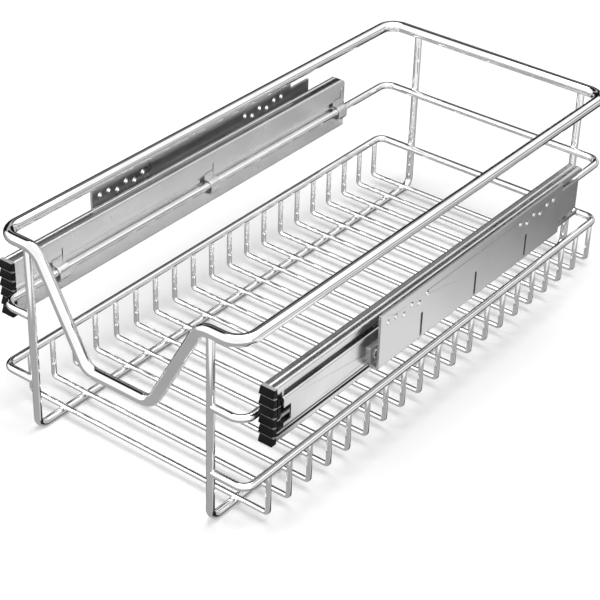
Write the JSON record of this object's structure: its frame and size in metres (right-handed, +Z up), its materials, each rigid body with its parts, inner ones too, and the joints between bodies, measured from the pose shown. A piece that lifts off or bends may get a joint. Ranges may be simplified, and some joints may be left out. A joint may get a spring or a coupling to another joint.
{
  "type": "pull-out cabinet basket",
  "caption": "Wire basket with a dipped front handle, clipped between two full-extension ball-bearing slides with side brackets for a cabinet.",
  "frame": {"origin": "centre of the bounding box in X and Y, at the underside of the two long frames (the lowest point), slides closed", "axes": "+X to the right of the basket seen from the front, +Y from the dipped front towards the back of the cabinet, +Z up"},
  "size_m": [0.264, 0.4706, 0.1591],
  "materials": {
    "chrome_wire": "bright chrome-plated steel wire",
    "rail_steel": "zinc-plated cold-rolled sheet steel, satin",
    "bracket_steel": "zinc-plated sheet steel, satin",
    "cage_steel": "thin plated strip steel, satin",
    "ball_steel": "polished bearing steel",
    "rivet_steel": "zinc-plated steel",
    "bumper_plastic": "moulded black plastic, fine matte grain"
  },
  "bodies": {
    "cabinet_rails": {"left_mounting_bracket": "bracket_steel", "right_mounting_bracket": "bracket_steel", "left_cabinet_rail": "rail_steel", "right_cabinet_rail": "rail_steel", "bracket_rivets": "rivet_steel"},
    "middle_rails": {"left_middle_rail": "rail_steel", "right_middle_rail": "rail_steel", "left_middle_bumper": "bumper_plastic", "right_middle_bumper": "bumper_plastic"},
    "basket": {"top_rim": "chrome_wire", "middle_ring": "chrome_wire", "lower_ring": "chrome_wire", "left_long_frame": "chrome_wire", "right_long_frame": "chrome_wire", "cross_wire_01": "chrome_wire", "cross_wire_02": "chrome_wire", "cross_wire_03": "chrome_wire", "cross_wire_04": "chrome_wire", "cross_wire_05": "chrome_wire", "cross_wire_06": "chrome_wire", "cross_wire_07": "chrome_wire", "cross_wire_08": "chrome_wire", "cross_wire_09": "chrome_wire", "cross_wire_10": "chrome_wire", "cross_wire_11": "chrome_wire", "cross_wire_12": "chrome_wire", "cross_wire_13": "chrome_wire", "cross_wire_14": "chrome_wire", "cross_wire_15": "chrome_wire", "cross_wire_16": "chrome_wire", "cross_wire_17": "chrome_wire", "cross_wire_18": "chrome_wire", "cross_wire_19": "chrome_wire", "cross_wire_20": "chrome_wire", "left_drawer_rail": "rail_steel", "right_drawer_rail": "rail_steel", "left_drawer_bumper": "bumper_plastic", "right_drawer_bumper": "bumper_plastic"},
    "outer_ball_cages": {"left_outer_ball_cage": "cage_steel", "right_outer_ball_cage": "cage_steel", "left_outer_balls": "ball_steel", "right_outer_balls": "ball_steel"},
    "inner_ball_cages": {"left_inner_ball_cage": "cage_steel", "right_inner_ball_cage": "cage_steel", "left_inner_balls": "ball_steel", "right_inner_balls": "ball_steel"}
  },
  "joints": [
    {"name": "rail_extension", "type": "slide", "parent": "cabinet_rails", "child": "middle_rails", "axis": [0, -1, 0], "range_m": [0, 0.19]},
    {"name": "basket_slide", "type": "slide", "parent": "middle_rails", "child": "basket", "axis": [0, -1, 0], "range_m": [0, 0.19]},
    {"name": "outer_cage_slide", "type": "slide", "parent": "middle_rails", "child": "outer_ball_cages", "axis": [0, -1, 0], "range_m": [0, 0.095]},
    {"name": "inner_cage_slide", "type": "slide", "parent": "cabinet_rails", "child": "inner_ball_cages", "axis": [0, -1, 0], "range_m": [0, 0.095]}
  ],
  "couplings": [
    {"joint": "rail_extension", "follows": "basket_slide", "ratio": 1},
    {"joint": "outer_cage_slide", "follows": "basket_slide", "ratio": 0.5},
    {"joint": "inner_cage_slide", "follows": "basket_slide", "ratio": 0.5}
  ]
}
